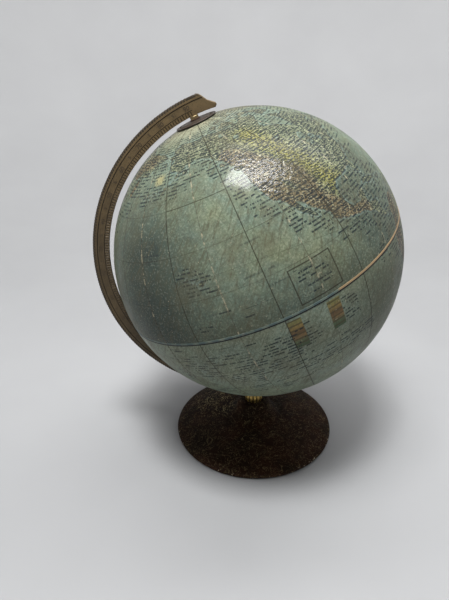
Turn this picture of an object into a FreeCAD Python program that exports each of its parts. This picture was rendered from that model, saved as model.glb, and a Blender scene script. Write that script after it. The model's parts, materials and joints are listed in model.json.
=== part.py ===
# A twelve-inch desk globe on a half-meridian arm and a round pressed-steel base.
#
# Frame: +Z up, origin at the centre of the base's underside, millimetres.
# The arm lies in the XZ plane, and the north pole leans toward -X.
# "Globe frame" below means: origin at the ball's centre, local Z along the polar axis to the north pole.
import FreeCAD, Part
import math
import os
import Sketcher

DIMENSIONS = [
    # The ball
    ("ball_radius", 152.4, "outside of the map paper, a twelve-inch globe"),
    ("ball_height", 232.5, "ball centre above the table"),
    ("axial_tilt", 23.5, "lean of the polar axis, degrees"),
    ("paper", 0.3, "thickness of a map gore"),
    ("board", 2.6, "thickness of a chipboard half shell"),
    ("gore_count", 12, "map gores round the ball"),
    ("gore_phase", 15, "first gore seam, degrees about the ball axis from +X"),
    ("hoop_width", 24, "width of the joining hoop inside the equator"),
    ("hoop_board", 2, "thickness of the joining hoop"),
    ("tape_width", 3.2, "width of the seam tape round the equator"),
    ("tape_thick", 0.25, "thickness of the seam tape"),
    ("plug_radius", 18, "wooden disc behind each pole"),
    ("plug_depth", 9, "depth of the wooden disc"),
    # The pole fittings
    ("pin_radius", 1.2, "pivot pins"),
    ("pin_play", 0.05, "running clearance round a pin"),
    ("pin_grip", 11, "length of a pin held in the arm"),
    ("pin_reach", 9, "length of a pin inside the ball"),
    ("eyelet_radius", 4, "tube of a pole eyelet"),
    ("eyelet_flange", 6.5, "flange of a pole eyelet"),
    ("flange_thick", 0.6, "thickness of that flange"),
    ("eyelet_length", 12, "tube length of a pole eyelet"),
    ("part_gap", 0.3, "gap between pieces that turn past each other"),
    ("seat_gap", 0.1, "gap between a nut or spacer and the arm"),
    ("drill_over", 1, "how far a drill starts outside the arm"),
    ("dial_radius", 20.8, "hour dial at the north pole"),
    ("dial_thick", 0.7, "sheet thickness of the hour dial"),
    ("dial_drop", 0.8, "how far the dial's edge dips below its middle"),
    ("washer_radius", 5.2, "fibre washers on the pins"),
    ("washer_thick", 0.5, "thickness of a fibre washer"),
    ("nut_radius", 4.2, "round nut and spacer on the pins"),
    # The arm
    ("arm_inner", 157, "inside radius of the arm"),
    ("arm_outer", 174.2, "outside radius of the arm"),
    ("arm_offset", 0.8, "arm centre above the ball centre along the axis"),
    ("arm_web", 3.6, "thickness of the graduated face"),
    ("arm_rim", 4.4, "thickness of the beaded rim"),
    ("rim_height", 4.7, "radial height of the beaded rim"),
    ("hump_angle", 3.6, "where the rim ends, degrees past the north pole"),
    ("tail_angle", 5, "where the arm ends, degrees past the south pole"),
    ("boss_radius", 7, "boss under the arm that stands on the collar"),
    ("boss_height", 21.5, "height of that boss"),
    # The base
    ("base_radius", 97.5, "rim of the base"),
    ("sheet_metal", 1.2, "steel thickness of the base shell"),
    ("rim_lift", 1, "rolled rim above the table"),
    ("rim_top", 4.6, "where the dome meets the rolled rim"),
    ("roll_width", 2.4, "radial width of the rolled rim"),
    ("hub_height", 40, "flat top of the hub"),
    ("hub_radius", 20.5, "hub just below its shoulder"),
    ("hub_shoulder", 5.5, "rounding of the hub's shoulder"),
    ("hub_neck_drop", 12.1, "straight side of the hub ends this far below its top"),
    ("hub_draft", 1, "how much wider the hub is down there"),
    ("hub_foot_radius", 36, "where the hub's sweep runs into the dome"),
    ("hub_foot_height", 18.5, "height of that circle"),
    ("sweep_radius", 15, "concave sweep from hub to dome"),
    ("dome_radius", 160, "section radius of the dome"),
    ("card_radius", 94.1, "card closing the underside"),
    ("card_thick", 1.5, "thickness of the card"),
    ("felt_radius", 92.5, "felt under the card"),
    ("felt_thick", 1.5, "thickness of the felt"),
    ("collar_height", 15.5, "fluted collar between hub and arm"),
    ("collar_foot", 10.8, "foot radius of the collar"),
    ("collar_skirt", 1.6, "straight edge at the collar's foot"),
    ("collar_flare", 8.5, "section radius of the collar's flare"),
    ("collar_neck", 6.8, "neck radius of the collar"),
    ("neck_below_top", 3.4, "neck this far below the collar's top"),
    ("collar_top", 8, "top bead radius of the collar"),
    ("bead_height", 2.6, "height of that bead"),
    ("flute_radius", 1.1, "radius of a flute"),
    ("flute_count", 14, "flutes round the collar"),
    ("bolt_radius", 3, "stem bolt"),
    ("bolt_hole", 3.3, "clearance hole for the stem bolt"),
    ("bolt_reach", 15, "length of the bolt inside the arm's boss"),
    ("bolt_head", 5.8, "corner radius of the hexagon head"),
    ("bolt_head_height", 4, "height of the hexagon head"),
    ("plate_radius", 14.5, "stiffening plate under the hub top"),
    ("plate_thick", 2, "thickness of the stiffening plate"),
    ("flat_washer_radius", 8, "flat washer"),
    ("flat_washer_thick", 1.5, "thickness of the flat washer"),
    ("lock_washer_radius", 5.4, "split lock washer"),
    ("lock_washer_thick", 1.6, "thickness of the lock washer"),
]

# Outline of the arm's scrolled north tip, from the arm's centre: across the axis, then along it.
SHOULDER_FOOT = (15.9, 168.4)
SCROLL_NECK = (21.6, 162.2)
TIP_FOOT = (22.6, 155.4)
SHOULDER_ROUNDING = 4.2
SCROLL_HOLLOW = 7.0
TIP_ROUNDING = 3.9


class Size:
    """A length or an angle: its value now, and the expression that binds it to the sheet."""

    def __init__(self, value, text):
        self.value = value
        self.text = text

    def __add__(self, other):
        other = as_size(other)
        return Size(self.value + other.value, "(%s + %s)" % (self.text, other.text))

    def __sub__(self, other):
        other = as_size(other)
        return Size(self.value - other.value, "(%s - %s)" % (self.text, other.text))

    def __mul__(self, factor):
        return Size(self.value * factor, "(%s * %g)" % (self.text, factor))

    def __neg__(self):
        return Size(-self.value, "(0 - %s)" % self.text)


def as_size(number):
    return number if isinstance(number, Size) else Size(number, "%g" % number)


def beside(radius, across):
    """How far along the axis a circle or sphere of this radius is, at a distance across from it."""
    value = math.sqrt(radius.value ** 2 - across.value ** 2)
    return Size(value, "sqrt(%s^2 - %s^2)" % (radius.text, across.text))


doc = FreeCAD.newDocument("desk_globe")
sheet = doc.addObject("Spreadsheet::Sheet", "sizes")
for row, (alias, number, note) in enumerate(DIMENSIONS, start=1):
    sheet.set("A%d" % row, note)
    sheet.set("B%d" % row, str(number))
    sheet.setAlias("B%d" % row, alias)
doc.recompute()
NUMBERS = {alias: number for alias, number, _ in DIMENSIONS}
ZERO = as_size(0)


def size(alias):
    return Size(NUMBERS[alias], "sizes." + alias)


def bind(thing, **properties):
    for name, value in properties.items():
        thing.setExpression(name, as_size(value).text)


def upright(height=0.0):
    """A placement on the base's axis, this far above the table."""
    return FreeCAD.Placement(FreeCAD.Vector(0, 0, height), FreeCAD.Rotation())


def tilted(along=0.0, turned=0.0):
    """A placement in the globe frame: moved along the polar axis, then turned about it."""
    lean = FreeCAD.Rotation(FreeCAD.Vector(0, 1, 0), -NUMBERS["axial_tilt"])
    spin = FreeCAD.Rotation(FreeCAD.Vector(0, 0, 1), turned)
    centre = FreeCAD.Vector(0, 0, NUMBERS["ball_height"])
    return FreeCAD.Placement(centre + lean.multVec(FreeCAD.Vector(0, 0, along)), lean.multiply(spin))


def origin_plane(body, role):
    return [plane for plane in body.Origin.OriginFeatures if plane.Role == role][0]


def arc_between(start, end, radius, clockwise):
    """The shorter arc from start to end, and whether its own start point is the first corner."""
    middle = (start + end) * 0.5
    chord = end - start
    side = FreeCAD.Vector(-chord.y, chord.x, 0).normalize()
    if clockwise:
        side = -side
    centre = middle + side * math.sqrt(max(radius ** 2 - (chord.Length / 2) ** 2, 0.0))
    first, last = (end, start) if clockwise else (start, end)
    from_angle = math.atan2(first.y - centre.y, first.x - centre.x)
    to_angle = math.atan2(last.y - centre.y, last.x - centre.x)
    if to_angle <= from_angle:
        to_angle += 2 * math.pi
    circle = Part.Circle(centre, FreeCAD.Vector(0, 0, 1), radius)
    return Part.ArcOfCircle(circle, from_angle, to_angle)


def draw_outline(body, role, corners, name="outline"):
    """A closed, fully dimensioned sketch.

    Each corner is (x, y), or (x, y, radius, turn) where an arc of that radius leaves it;
    turn is "cw" or "ccw".
    """
    sketch = body.newObject("Sketcher::SketchObject", name)
    sketch.AttachmentSupport = [(origin_plane(body, role), "")]
    sketch.MapMode = "FlatFace"
    corners = [(as_size(c[0]), as_size(c[1])) + tuple(c[2:]) for c in corners]
    points = [FreeCAD.Vector(c[0].value, c[1].value, 0) for c in corners]
    ends = []
    for i, corner in enumerate(corners):
        start, end = points[i], points[(i + 1) % len(points)]
        if len(corner) == 2:
            edge = sketch.addGeometry(Part.LineSegment(start, end), False)
            ends.append((edge, 1, 2))
            continue
        radius, turn = as_size(corner[2]), corner[3]
        edge = sketch.addGeometry(arc_between(start, end, radius.value, turn == "cw"), False)
        ends.append((edge, 2, 1) if turn == "cw" else (edge, 1, 2))
        rule = sketch.addConstraint(Sketcher.Constraint("Radius", edge, radius.value))
        sketch.setExpression("Constraints[%d]" % rule, radius.text)
    for i, (edge, _, last) in enumerate(ends):
        following, first, _ = ends[(i + 1) % len(ends)]
        sketch.addConstraint(Sketcher.Constraint("Coincident", edge, last, following, first))
    for (edge, first, _), corner in zip(ends, corners):
        for kind, axis, place in (("DistanceX", -2, corner[0]), ("DistanceY", -1, corner[1])):
            if place.text == "0":
                sketch.addConstraint(Sketcher.Constraint("PointOnObject", edge, first, axis))
                continue
            rule = sketch.addConstraint(Sketcher.Constraint(kind, edge, first, place.value))
            sketch.setExpression("Constraints[%d]" % rule, place.text)
    return sketch


def new_body(label):
    body = doc.addObject("PartDesign::Body", label)
    body.Label = label
    return body


def turned_piece(label, corners, placement, angle=360.0):
    """A piece turned about its own Z axis from a half section (radius, height)."""
    body = new_body(label)
    sketch = draw_outline(body, "XZ_Plane", corners)
    turning = body.newObject("PartDesign::Revolution", "turning")
    turning.Profile = sketch
    turning.ReferenceAxis = (sketch, ["V_Axis"])
    turning.Angle = angle
    body.Placement = placement
    return body


def ring_section(inner, outer, bottom, top):
    return [(inner, bottom), (outer, bottom), (outer, top), (inner, top)]


def disc_section(outer, bottom, top):
    return ring_section(ZERO, outer, bottom, top)


# ---------------------------------------------------------------- the base

def base_shell():
    """Pressed steel: flat hub top, rounded shoulder, concave sweep, low dome and rolled rim."""
    steel = size("sheet_metal")
    hub, shoulder = size("hub_radius"), size("hub_shoulder")
    top, foot, foot_z = size("hub_height"), size("hub_foot_radius"), size("hub_foot_height")
    rim, lift, rim_top = size("base_radius"), size("rim_lift"), size("rim_top")
    sweep, dome, roll = size("sweep_radius"), size("dome_radius"), size("roll_width")
    neck, neck_z = hub + size("hub_draft"), top - size("hub_neck_drop")
    outside = [
        (size("bolt_hole"), top),
        (hub - shoulder, top, shoulder, "cw"),
        (hub, top - shoulder),
        (neck, neck_z, sweep, "ccw"),
        (foot, foot_z, dome, "cw"),
        (rim - roll, rim_top, roll * 1.05, "cw"),
        (rim, rim_top - roll * 0.9),
        (rim - steel, lift),
    ]
    inside = [
        (rim - steel * 2, lift),
        (rim - roll - steel * 0.4, rim_top - steel, dome - steel, "ccw"),
        (foot - steel * 0.3, foot_z - steel, sweep + steel, "cw"),
        (neck - steel, neck_z - steel * 0.6),
        (hub - steel, top - shoulder, shoulder - steel, "ccw"),
        (hub - shoulder, top - steel),
        (size("bolt_hole"), top - steel),
    ]
    return turned_piece("base_shell", outside + inside, upright())


def base_closing():
    felt = size("felt_thick")
    pad = turned_piece("felt_pad", disc_section(size("felt_radius"), ZERO, felt), upright())
    card = turned_piece(
        "base_card", disc_section(size("card_radius"), felt, felt + size("card_thick")), upright())
    return [pad, card]


def stem_fastening():
    """Plate, washers and bolt hang under the hub top in that order."""
    hole, under = size("bolt_hole"), size("hub_height") - size("sheet_metal")
    pieces = []
    stack = [("hub_plate", "plate_radius", "plate_thick"),
             ("flat_washer", "flat_washer_radius", "flat_washer_thick"),
             ("lock_washer", "lock_washer_radius", "lock_washer_thick")]
    for label, radius, thick in stack:
        section = ring_section(hole, size(radius), under - size(thick), under)
        pieces.append(turned_piece(label, section, upright()))
        under = under - size(thick)
    return pieces + [stem_bolt(under)]


def stem_bolt(seat):
    """Hexagon bolt: its head bears on the lock washer, its shank ends in the arm's boss."""
    head = doc.addObject("Part::Prism", "bolt_hexagon")
    head.Polygon = 6
    bind(head, Circumradius=size("bolt_head"), Height=size("bolt_head_height"))
    head.Placement = upright(seat.value - NUMBERS["bolt_head_height"])
    shank = doc.addObject("Part::Cylinder", "bolt_shank")
    length = size("hub_height") + size("collar_height") + size("bolt_reach") - seat
    bind(shank, Radius=size("bolt_radius"), Height=length)
    shank.Placement = upright(seat.value)
    bolt = doc.addObject("Part::Fuse", "stem_bolt")
    bolt.Base = head
    bolt.Tool = shank
    bolt.Label = "stem_bolt"
    return bolt


def stem_collar():
    """Gilt bell collar with flutes round its flared skirt."""
    bore, foot = size("bolt_hole"), size("collar_foot")
    neck, bead, height = size("collar_neck"), size("collar_top"), size("collar_height")
    neck_z = height - size("neck_below_top")
    section = [
        (bore, ZERO),
        (foot, ZERO),
        (foot, size("collar_skirt"), size("collar_flare"), "cw"),
        (neck, neck_z),
        (bead, height - size("bead_height")),
        (bead, height),
        (bore, height),
    ]
    body = turned_piece("stem_collar", section, upright(NUMBERS["hub_height"]))
    flute = body.newObject("Sketcher::SketchObject", "flute_outline")
    flute.AttachmentSupport = [(origin_plane(body, "XY_Plane"), "")]
    flute.MapMode = "FlatFace"
    start = FreeCAD.Vector(NUMBERS["collar_foot"], 0, 0)
    circle = Part.Circle(start, FreeCAD.Vector(0, 0, 1), NUMBERS["flute_radius"])
    flute.addGeometry(circle, False)
    flute.addConstraint(Sketcher.Constraint("Radius", 0, NUMBERS["flute_radius"]))
    flute.addConstraint(Sketcher.Constraint("DistanceX", 0, 3, NUMBERS["collar_foot"]))
    flute.addConstraint(Sketcher.Constraint("PointOnObject", 0, 3, -1))
    flute.setExpression("Constraints[0]", size("flute_radius").text)
    flute.setExpression("Constraints[1]", foot.text)
    doc.recompute()
    before = body.Shape.Volume
    pocket = body.newObject("PartDesign::Pocket", "flute")
    pocket.Profile = flute
    pocket.Type = "Length"
    pocket.Reversed = True
    bind(pocket, Length=neck_z)
    doc.recompute()
    if body.Shape.Volume >= before:
        raise RuntimeError("the flute cuts nothing")
    pattern = body.newObject("PartDesign::PolarPattern", "flutes")
    pattern.Originals = [pocket]
    pattern.Axis = (origin_plane(body, "Z_Axis"), [""])
    pattern.Angle = 360
    bind(pattern, Occurrences=size("flute_count"))
    body.Tip = pattern
    return body


# ---------------------------------------------------------------- the arm

def polar(radius, degrees):
    """A point of the arm: degrees from the north pole round the back of the ball toward the south."""
    angle = math.radians(degrees)
    sine, cosine = math.sin(angle), math.cos(angle)
    return radius * -sine, radius * cosine


def arm_outline(inner, outer, with_tip):
    """Outline of the arm in its own plane, from the north tip round to the tail."""
    tail = 180 + NUMBERS["tail_angle"]
    hump = -NUMBERS["hump_angle"]
    outer_way = [polar(outer, hump), polar(outer, 90), polar(outer, tail)]
    inner_way = [polar(inner, tail), polar(inner, 90), polar(inner, hump)]
    corners = [outer_way[0] + (outer, "ccw"), outer_way[1] + (outer, "ccw"), outer_way[2]]
    corners += [inner_way[0] + (inner, "cw"), inner_way[1] + (inner, "cw"), inner_way[2]]
    if with_tip:
        corners += [
            TIP_FOOT + (TIP_ROUNDING, "ccw"),
            SCROLL_NECK + (SCROLL_HOLLOW, "cw"),
            SHOULDER_FOOT + (SHOULDER_ROUNDING, "ccw"),
        ]
    return corners


def pad_both_ways(body, sketch, name, length):
    pad = body.newObject("PartDesign::Pad", name)
    pad.Profile = sketch
    pad.SideType = "Symmetric"
    bind(pad, Length=length)
    return pad


def meridian_arm():
    """One casting: graduated web, thicker beaded rim, scrolled tip, and the boss it stands on."""
    inner, outer = size("arm_inner"), size("arm_outer")
    body = new_body("arm_blank")
    web = draw_outline(body, "XZ_Plane", arm_outline(inner.value, outer.value, True), "web_outline")
    pad_both_ways(body, web, "web", size("arm_web"))
    rim_inner = outer - size("rim_height")
    rim = draw_outline(
        body, "XZ_Plane", arm_outline(rim_inner.value, outer.value, False), "rim_outline")
    pad_both_ways(body, rim, "rim", size("arm_rim"))
    body.Placement = tilted(NUMBERS["arm_offset"])

    boss = doc.addObject("Part::Cylinder", "boss")
    bind(boss, Radius=size("boss_radius"), Height=size("boss_height"))
    foot = NUMBERS["hub_height"] + NUMBERS["collar_height"]
    boss.Placement = upright(foot)
    casting = doc.addObject("Part::Fuse", "arm_casting")
    casting.Base = body
    casting.Tool = boss

    over = NUMBERS["drill_over"]
    holes = []
    for label, way in (("north_hole", 1), ("south_hole", -1)):
        depth = size("pin_grip") + over
        hole = doc.addObject("Part::Cylinder", label)
        bind(hole, Radius=size("pin_radius"), Height=depth)
        mouth = NUMBERS["arm_inner"] + way * NUMBERS["arm_offset"] - over
        hole.Placement = tilted(mouth) if way > 0 else tilted(-mouth - depth.value)
        holes.append(hole)
    stem = doc.addObject("Part::Cylinder", "stem_hole")
    bind(stem, Radius=size("bolt_radius"), Height=size("bolt_reach") + over)
    stem.Placement = upright(foot - over)
    holes.append(stem)
    drills = doc.addObject("Part::MultiFuse", "arm_drills")
    drills.Shapes = holes
    arm = doc.addObject("Part::Cut", "meridian_arm")
    arm.Base = casting
    arm.Tool = drills
    arm.Label = "meridian_arm"
    return arm


# ---------------------------------------------------------------- the pole fittings

def pole_pins():
    """Each pin is driven into the arm's inner edge and reaches into the ball through its eyelet."""
    pieces = []
    for label, way in (("north_pivot_pin", 1), ("south_pivot_pin", -1)):
        seat = NUMBERS["arm_inner"] + way * NUMBERS["arm_offset"]
        inside = NUMBERS["ball_radius"] - NUMBERS["pin_reach"]
        length = Size(seat - inside + NUMBERS["pin_grip"],
                      "(sizes.arm_inner + %d * sizes.arm_offset - sizes.ball_radius"
                      " + sizes.pin_reach + sizes.pin_grip)" % way)
        pin = doc.addObject("Part::Cylinder", label)
        pin.Label = label
        bind(pin, Radius=size("pin_radius"), Height=length)
        pin.Placement = tilted(inside) if way > 0 else tilted(-inside - length.value)
        pieces.append(pin)
    return pieces


def north_stack():
    """From the ball outward: hour dial, fibre washer, round nut up to the arm."""
    bore, flange = size("pin_radius"), size("ball_radius") + size("flange_thick")
    dial_z = flange + size("part_gap")
    dial_edge = size("dial_radius")
    hole = bore + size("pin_play")
    drop, thick = size("dial_drop"), size("dial_thick")
    dial = turned_piece("hour_dial", [
        (hole, dial_z),
        (size("washer_radius"), dial_z),
        (dial_edge, dial_z - drop),
        (dial_edge, dial_z - drop + thick),
        (size("washer_radius"), dial_z + thick),
        (hole, dial_z + thick),
    ], tilted())
    washer_z = dial_z + thick + size("part_gap")
    nut_z = washer_z + size("washer_thick")
    washer = turned_piece(
        "north_washer", ring_section(bore, size("washer_radius"), washer_z, nut_z), tilted())
    nut_top = size("arm_inner") + size("arm_offset") - size("seat_gap")
    nut = turned_piece("north_nut", ring_section(bore, size("nut_radius"), nut_z, nut_top), tilted())
    return [dial, washer, nut]


def south_stack():
    """The ball's weight bears on a fibre washer and a brass spacer above the arm."""
    bore = size("pin_radius")
    washer_z = size("ball_radius") + size("flange_thick") + size("part_gap")
    spacer_z = washer_z + size("washer_thick")
    arm_z = size("arm_inner") - size("arm_offset") - size("seat_gap")
    washer = turned_piece(
        "south_washer", ring_section(bore, size("washer_radius"), -spacer_z, -washer_z), tilted())
    spacer = turned_piece(
        "south_spacer", ring_section(bore, size("nut_radius"), -arm_z, -spacer_z), tilted())
    return [washer, spacer]


def pole_eyelets():
    """A flanged brass eyelet lines each pole hole, and the pin turns in it."""
    hole = size("pin_radius") + size("pin_play")
    tube, flange = size("eyelet_radius"), size("eyelet_flange")
    face = size("ball_radius")
    root, crown = face - size("eyelet_length"), face + size("flange_thick")
    section = [(hole, root), (tube, root), (tube, face), (flange, face), (flange, crown), (hole, crown)]
    mirrored = [(r, -z) for r, z in section]
    return [turned_piece("north_eyelet", section, tilted()),
            turned_piece("south_eyelet", mirrored, tilted())]


# ---------------------------------------------------------------- the ball

def half_shells():
    """Two moulded chipboard hemispheres that meet at the equator."""
    outer = size("ball_radius") - size("paper")
    inner = outer - size("board")
    hole = size("eyelet_radius")
    north = [
        (hole, beside(outer, hole), outer, "cw"),
        (outer, ZERO),
        (inner, ZERO, inner, "ccw"),
        (hole, beside(inner, hole)),
    ]
    south = [
        (hole, -beside(outer, hole), outer, "ccw"),
        (outer, ZERO),
        (inner, ZERO, inner, "cw"),
        (hole, -beside(inner, hole)),
    ]
    return [turned_piece("north_shell", north, tilted()),
            turned_piece("south_shell", south, tilted())]


def equator_hoop():
    """A board hoop glued inside the equator joins the two halves."""
    half = size("hoop_width") * 0.5
    outer = beside(size("ball_radius") - size("paper") - size("board"), half)
    return turned_piece(
        "equator_hoop", ring_section(outer - size("hoop_board"), outer, -half, half), tilted())


def equator_tape():
    """Printed tape over the seam, standing slightly proud of the map."""
    half = size("tape_width") * 0.5
    face = size("ball_radius")
    return turned_piece(
        "equator_tape", ring_section(face, face + size("tape_thick"), -half, half), tilted())


def pole_plugs():
    """Turned wooden discs glued behind the poles hold the eyelets."""
    inner = size("ball_radius") - size("paper") - size("board")
    hole, rim, depth = size("eyelet_radius"), size("plug_radius"), size("plug_depth")
    north = [
        (hole, inner - depth),
        (rim, inner - depth),
        (rim, beside(inner, rim), inner, "ccw"),
        (hole, beside(inner, hole)),
    ]
    south = [
        (hole, depth - inner),
        (rim, depth - inner),
        (rim, -beside(inner, rim), inner, "cw"),
        (hole, -beside(inner, hole)),
    ]
    return [turned_piece("north_plug", north, tilted()),
            turned_piece("south_plug", south, tilted())]


def map_gores():
    """Printed paper gores, pole to pole, side by side round the ball."""
    outer = size("ball_radius")
    inner = outer - size("paper")
    hole = size("eyelet_radius")
    step = 360.0 / NUMBERS["gore_count"]
    first = NUMBERS["gore_phase"]
    section = [
        (hole, beside(outer, hole), outer, "cw"),
        (hole, -beside(outer, hole)),
        (hole, -beside(inner, hole), inner, "ccw"),
        (hole, beside(inner, hole)),
    ]
    return [turned_piece("map_gore_%02d" % (i + 1), section, tilted(turned=first + i * step), step)
            for i in range(NUMBERS["gore_count"])]


# ---------------------------------------------------------------- all the pieces

def build_pieces():
    pieces = [base_shell()]
    pieces += base_closing()
    pieces += stem_fastening()
    pieces.append(stem_collar())
    pieces.append(meridian_arm())
    pieces += pole_pins()
    pieces += north_stack()
    pieces += south_stack()
    pieces += pole_eyelets()
    pieces += half_shells()
    pieces += [equator_hoop(), equator_tape()]
    pieces += pole_plugs()
    pieces += map_gores()
    return pieces


def check_and_write(pieces):
    doc.recompute()
    for thing in doc.Objects:
        if "Invalid" in thing.State or "Error" in thing.State:
            raise RuntimeError("%s did not compute: %s" % (thing.Label, thing.State))
    os.makedirs("parts", exist_ok=True)
    for piece in pieces:
        shape = piece.Shape
        if shape.isNull() or not shape.isValid() or shape.Volume <= 0:
            raise RuntimeError("%s has no sound shape" % piece.Label)
        shape.exportStep("parts/%s.step" % piece.Label)
        print("%-16s %2d solid %12.1f mm3" % (piece.Label, len(shape.Solids), shape.Volume))


check_and_write(build_pieces())
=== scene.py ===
import json
import math

import bpy
import numpy as np
from mathutils import Matrix, Vector


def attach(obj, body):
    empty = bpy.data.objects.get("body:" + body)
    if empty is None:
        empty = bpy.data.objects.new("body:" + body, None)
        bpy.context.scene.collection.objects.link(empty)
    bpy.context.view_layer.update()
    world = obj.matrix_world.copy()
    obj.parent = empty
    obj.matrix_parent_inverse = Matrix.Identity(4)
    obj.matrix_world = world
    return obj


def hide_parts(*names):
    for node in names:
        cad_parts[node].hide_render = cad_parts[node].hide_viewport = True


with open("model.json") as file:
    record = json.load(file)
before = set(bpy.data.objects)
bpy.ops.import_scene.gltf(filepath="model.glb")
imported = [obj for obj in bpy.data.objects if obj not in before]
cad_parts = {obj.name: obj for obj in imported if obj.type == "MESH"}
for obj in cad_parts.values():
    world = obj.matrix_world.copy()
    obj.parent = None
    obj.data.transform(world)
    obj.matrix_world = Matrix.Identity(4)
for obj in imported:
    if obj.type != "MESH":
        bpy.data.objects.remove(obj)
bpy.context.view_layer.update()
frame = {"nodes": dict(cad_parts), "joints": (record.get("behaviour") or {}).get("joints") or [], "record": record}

MM = 0.001

# ---- places, from the frame

SPIN = next(joint for joint in frame["joints"] if joint["name"] == "globe_spin")
CENTRE = Vector(SPIN["pos_m"])
NORTH = Vector(SPIN["axis"]).normalized()
ACROSS = Vector((0, 1, 0)).cross(NORTH).normalized()
GLOBE = Matrix.Translation(CENTRE) @ Matrix((ACROSS, (0, 1, 0), NORTH)).transposed().to_4x4()

# Sizes in millimetres, angles in degrees.
BALL = 152.4                   # ball radius
DEGREE = BALL * math.pi / 180  # ball surface to a degree
PAPER = 0.3
POLE_HOLE = 4.0
FLANGE, TURN_GAP, DIAL_THICK, WASHER = 0.6, 0.3, 0.7, 0.5
ARM_SHIFT = 0.8                # arm centre above the ball centre along the axis
ARM_INNER = 157.0
ARM_FACE = 1.8                 # half the thickness of the arm's graduated face
ARM_END = 185                  # from the north pole, round the back
FIGURE_RADIUS = 165.7          # middle of the arm's row of figures
HUB_TOP = 40.0                 # where the collar stands on the base
MAP_TURN = 45                  # the map's zero meridian, ahead of the globe's own X axis
GORES = 12
GORE_WIDTH = 30


# ---- mesh helpers

def new_object(name, data):
    made = bpy.data.objects.new(name, data)
    bpy.context.scene.collection.objects.link(made)
    return made


def add_mesh(name, points, faces, material, body, replaced=(), crease=35):
    """A smooth-shaded piece in one material that rides on a body when one is named."""
    mesh = bpy.data.meshes.new(name)
    mesh.from_pydata((np.asarray(points, float) * MM).tolist(), [], [list(face) for face in faces])
    mesh.validate()
    mesh.polygons.foreach_set("use_smooth", [True] * len(mesh.polygons))
    mesh.set_sharp_from_angle(angle=math.radians(crease))
    mesh.materials.append(MATERIALS[material])
    piece = new_object(name, mesh)
    if body:
        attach(piece, body)
        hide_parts(*replaced)
    return piece


def grid_faces(rows, columns, wrap_rows=False, wrap_columns=False):
    index = np.arange(rows * columns).reshape(rows, columns)
    row = np.arange(rows if wrap_rows else rows - 1)[:, None]
    column = np.arange(columns if wrap_columns else columns - 1)[None, :]
    below, right = (row + 1) % rows, (column + 1) % columns
    corners = [index[row, column], index[row, right], index[below, right], index[below, column]]
    return np.stack(corners, -1).reshape(-1, 4)


def capped_faces(rows, columns):
    """Faces of a closed section of columns carried along rows, with both ends closed."""
    faces = grid_faces(rows, columns, wrap_columns=True).tolist()
    for first in (0, (rows - 1) * columns):
        for j in range(columns // 2 - 1):
            cap = [first + j, first + j + 1, first + columns - 2 - j, first + columns - 1 - j]
            faces.append(cap if first else cap[::-1])
    return faces


def in_globe(points):
    """Points of the globe frame (mm) moved into the part's frame (mm)."""
    turn = np.array(GLOBE.to_3x3())
    return np.asarray(points, float) @ turn.T + np.array(CENTRE) / MM


def face_attribute(piece, name, values):
    """A number or a vector on each point."""
    values = np.asarray(values, np.float32)
    vector = values.ndim == 2
    layer = piece.data.attributes.new(name, "FLOAT_VECTOR" if vector else "FLOAT", "POINT")
    layer.data.foreach_set("vector" if vector else "value", values.ravel())


def lathe(name, profile, material, body, replaced, segments, tilted=False, shape=None, patina_and_shade=None):
    """A turned piece. A profile that starts or ends on the axis is closed there; any other is a ring."""
    profile = np.array(profile, float)
    angle = np.linspace(0, 2 * math.pi, segments, endpoint=False)
    radius = np.repeat(profile[:, :1], segments, 1)
    height = np.repeat(profile[:, 1:], segments, 1)
    if shape:
        radius, height = shape(radius, height, angle[None, :])
    points = np.stack([radius * np.cos(angle), radius * np.sin(angle), height], -1).reshape(-1, 3)
    on_axis = profile[0, 0] == 0 or profile[-1, 0] == 0
    faces = grid_faces(len(profile), segments, wrap_rows=not on_axis, wrap_columns=True)
    faces = merge_axis(faces, points)
    if tilted:
        points = in_globe(points)
    piece = add_mesh(name, points, faces, material, body, replaced)
    if patina_and_shade is not None:
        face_attribute(piece, "patina_and_shade", patina_and_shade(radius, height, angle[None, :] + 0 * radius).ravel())
    return piece


def merge_axis(faces, points):
    """Quads that end on the axis become triangles round one shared point."""
    first = {}
    keep = np.arange(len(points))
    for i in np.nonzero(np.hypot(points[:, 0], points[:, 1]) < 1e-9)[0]:
        keep[i] = first.setdefault(round(float(points[i, 2]), 6), i)
    merged = []
    for face in keep[faces].tolist():
        corners = list(dict.fromkeys(face))
        if len(corners) > 2:
            merged.append(corners)
    return merged


def arc(centre, radius, start, end, steps):
    """Points of an arc in a profile, angles in degrees."""
    angles = np.radians(np.linspace(start, end, steps))
    return [(centre[0] + radius * math.cos(a), centre[1] + radius * math.sin(a)) for a in angles]


def ripple(points, length, height, seed):
    """Gentle unevenness: a sum of waves in seeded directions, in mm."""
    rng = np.random.default_rng(seed)
    total = np.zeros(len(points))
    for octave in range(3):
        for _ in range(5):
            way = rng.normal(size=3)
            way *= 2 * math.pi * (1.9 ** octave) / (length * np.linalg.norm(way))
            total += np.sin(points @ way + rng.uniform(0, 6.28)) / (1.9 ** octave)
    return total * height / 4


# ---- shader helpers

class Wire:
    """One output of a node; arithmetic on it adds Math nodes."""

    def __init__(self, graph, socket):
        self.graph, self.socket = graph, socket

    def __rsub__(self, other):
        return self.graph.math("SUBTRACT", other, self)

    def below(self, limit, soft=1e-4):
        """1 where this is under the limit, 0 over it, with a soft edge."""
        return self.graph.span(self, limit + soft, limit - soft)

    def above(self, limit, soft=1e-4):
        return self.graph.span(self, limit - soft, limit + soft)

    def between(self, low, high, soft=1e-4):
        return self.above(low, soft) * self.below(high, soft)

    def split(self):
        node = self.graph.node("ShaderNodeSeparateXYZ")
        self.graph.feed(node.inputs[0], self)
        return [Wire(self.graph, out) for out in node.outputs]


def math_call(operation):
    return lambda first, second=None: first.graph.math(operation, first, second)


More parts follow.
